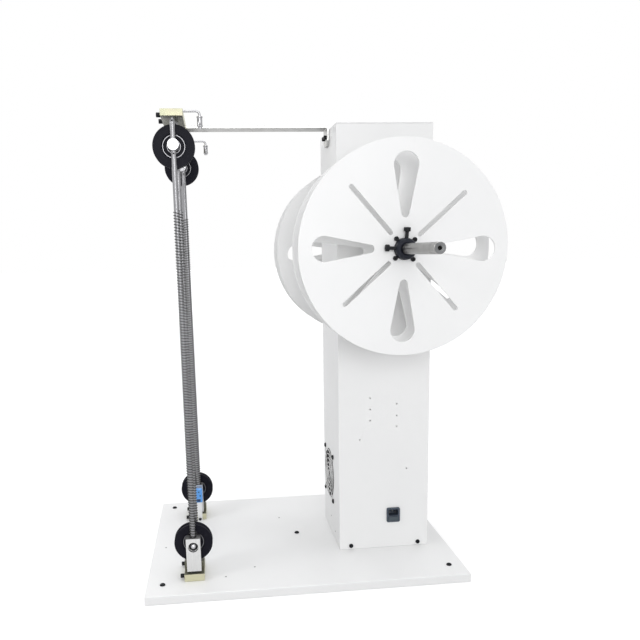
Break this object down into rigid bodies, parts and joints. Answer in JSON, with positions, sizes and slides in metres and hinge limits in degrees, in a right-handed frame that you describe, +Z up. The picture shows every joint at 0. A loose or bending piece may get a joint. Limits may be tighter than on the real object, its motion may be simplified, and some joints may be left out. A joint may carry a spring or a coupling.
{
  "type": "cable drum stand",
  "caption": "Double-sided motor-driven cable drum stand: drum spindles with clamping discs on a column, and sprung dancer pulley towers on one base.",
  "frame": {"origin": "on the floor, under the middle of the stand's bounding box", "axes": "+Z up, -Y towards the front drum side, +X from the dancer towers towards the column"},
  "size_m": [0.716, 0.924, 0.9365],
  "materials": {
    "white_paint": "white powder coat on sheet steel",
    "disc_white": "smooth white powder coat on laser-cut discs",
    "rubber": "black rubber belt",
    "black_oxide": "black oxide steel",
    "black_plastic": "black nylon with a low sheen",
    "bright_steel": "ground and polished steel",
    "aluminium": "milled aluminium",
    "spring_steel": "plain drawn spring wire",
    "yellow_zinc": "yellow zinc plated steel",
    "chrome": "polished chrome",
    "blue_plastic": "blue moulded sensor body",
    "motor_grey": "dark grey painted motor body",
    "board": "green circuit board"
  },
  "bodies": {
    "stand": {"base_plate": "white_paint", "column_shell": "white_paint", "rear_cover": "white_paint", "top_cap": "white_paint", "power_supply": "aluminium", "control_board": "board", "fan_housing": "black_plastic", "power_inlet": "black_plastic", "cross_bar": "yellow_zinc", "top_arm": "bright_steel", "front_wall_bearing": "bright_steel", "rear_wall_bearing": "bright_steel", "front_inner_bearing": "bright_steel", "rear_inner_bearing": "bright_steel", "front_bulkhead": "bright_steel", "rear_bulkhead": "bright_steel", "front_motor": "motor_grey", "rear_motor": "motor_grey", "front_belt": "rubber", "rear_belt": "rubber", "front_foot": "yellow_zinc", "rear_foot": "yellow_zinc", "front_outer_rod": "bright_steel", "rear_outer_rod": "bright_steel", "front_inner_rod": "bright_steel", "rear_inner_rod": "bright_steel", "front_upper_axle": "chrome", "rear_upper_axle": "chrome", "front_sensor": "blue_plastic", "rear_sensor": "blue_plastic", "front_sensor_bracket": "white_paint", "rear_sensor_bracket": "white_paint", "front_wire_guide": "chrome", "rear_wire_guide": "chrome", "front_outer_spring": "spring_steel", "front_inner_spring": "spring_steel", "rear_outer_spring": "spring_steel", "rear_inner_spring": "spring_steel"},
    "front_spindle": {"front_shaft": "bright_steel", "front_inner_disc": "disc_white", "front_spindle_pulley": "aluminium"},
    "rear_spindle": {"rear_shaft": "bright_steel", "rear_inner_disc": "disc_white", "rear_spindle_pulley": "aluminium"},
    "front_clamp": {"front_outer_disc": "disc_white", "front_outer_hub": "black_oxide"},
    "rear_clamp": {"rear_outer_disc": "disc_white", "rear_outer_hub": "black_oxide"},
    "front_drive": {"front_motor_pulley": "aluminium"},
    "rear_drive": {"rear_motor_pulley": "aluminium"},
    "fan": {"fan_rotor": "black_plastic"},
    "fuse_holder": {"fuse_drawer": "black_plastic"},
    "front_dancer": {"front_carriage": "aluminium"},
    "rear_dancer": {"rear_carriage": "aluminium"},
    "front_dancer_wheel": {"front_lower_pulley": "black_plastic"},
    "rear_dancer_wheel": {"rear_lower_pulley": "black_plastic"},
    "front_top_wheel": {"front_upper_pulley": "black_plastic"},
    "rear_top_wheel": {"rear_upper_pulley": "black_plastic"},
    "front_eye": {"front_guide_roller": "chrome"},
    "rear_eye": {"rear_guide_roller": "chrome"}
  },
  "joints": [
    {"name": "front_spindle_spin", "type": "hinge", "parent": "stand", "child": "front_spindle", "pos_m": [0.158, -0.255, 0.677], "axis": [0, -1, 0], "continuous": true},
    {"name": "rear_spindle_spin", "type": "hinge", "parent": "stand", "child": "rear_spindle", "pos_m": [0.158, 0.255, 0.677], "axis": [0, -1, 0], "continuous": true},
    {"name": "front_clamp_slide", "type": "slide", "parent": "front_spindle", "child": "front_clamp", "axis": [0, -1, 0], "range_m": [-0.04, 0.12]},
    {"name": "rear_clamp_slide", "type": "slide", "parent": "rear_spindle", "child": "rear_clamp", "axis": [0, 1, 0], "range_m": [-0.04, 0.12]},
    {"name": "front_motor_spin", "type": "hinge", "parent": "stand", "child": "front_drive", "pos_m": [0.116, -0.073, 0.517], "axis": [0, -1, 0], "continuous": true},
    {"name": "rear_motor_spin", "type": "hinge", "parent": "stand", "child": "rear_drive", "pos_m": [0.2, 0.073, 0.517], "axis": [0, -1, 0], "continuous": true},
    {"name": "fan_spin", "type": "hinge", "parent": "stand", "child": "fan", "pos_m": [0.07, 0.028, 0.157], "axis": [1, 0, 0], "continuous": true},
    {"name": "fuse_drawer_slide", "type": "slide", "parent": "stand", "child": "fuse_holder", "axis": [0, -1, 0], "range_m": [0, 0.02]},
    {"name": "front_dancer_slide", "type": "slide", "parent": "stand", "child": "front_dancer", "axis": [0, 0, 1], "range_m": [0, 0.3], "stiffness_N_per_m": 15, "deforming": ["front_outer_spring", "front_inner_spring"]},
    {"name": "rear_dancer_slide", "type": "slide", "parent": "stand", "child": "rear_dancer", "axis": [0, 0, 1], "range_m": [0, 0.3], "stiffness_N_per_m": 15, "deforming": ["rear_outer_spring", "rear_inner_spring"]},
    {"name": "front_dancer_wheel_spin", "type": "hinge", "parent": "front_dancer", "child": "front_dancer_wheel", "pos_m": [-0.2615, -0.1665, 0.0894], "axis": [0, -1, 0], "continuous": true},
    {"name": "rear_dancer_wheel_spin", "type": "hinge", "parent": "rear_dancer", "child": "rear_dancer_wheel", "pos_m": [-0.2615, 0.1665, 0.0894], "axis": [0, -1, 0], "continuous": true},
    {"name": "front_top_wheel_spin", "type": "hinge", "parent": "stand", "child": "front_top_wheel", "pos_m": [-0.2615, -0.1665, 0.874], "axis": [0, -1, 0], "continuous": true},
    {"name": "rear_top_wheel_spin", "type": "hinge", "parent": "stand", "child": "rear_top_wheel", "pos_m": [-0.2615, 0.1665, 0.874], "axis": [0, -1, 0], "continuous": true},
    {"name": "front_eye_spin", "type": "hinge", "parent": "stand", "child": "front_eye", "pos_m": [-0.211, -0.2, 0.91], "axis": [0, 0, 1], "continuous": true},
    {"name": "rear_eye_spin", "type": "hinge", "parent": "stand", "child": "rear_eye", "pos_m": [-0.204, 0.145, 0.91], "axis": [0, 0, 1], "continuous": true}
  ],
  "couplings": [
    {"joint": "front_motor_spin", "follows": "front_spindle_spin", "ratio": 2.5},
    {"joint": "rear_motor_spin", "follows": "rear_spindle_spin", "ratio": 2.5}
  ]
}
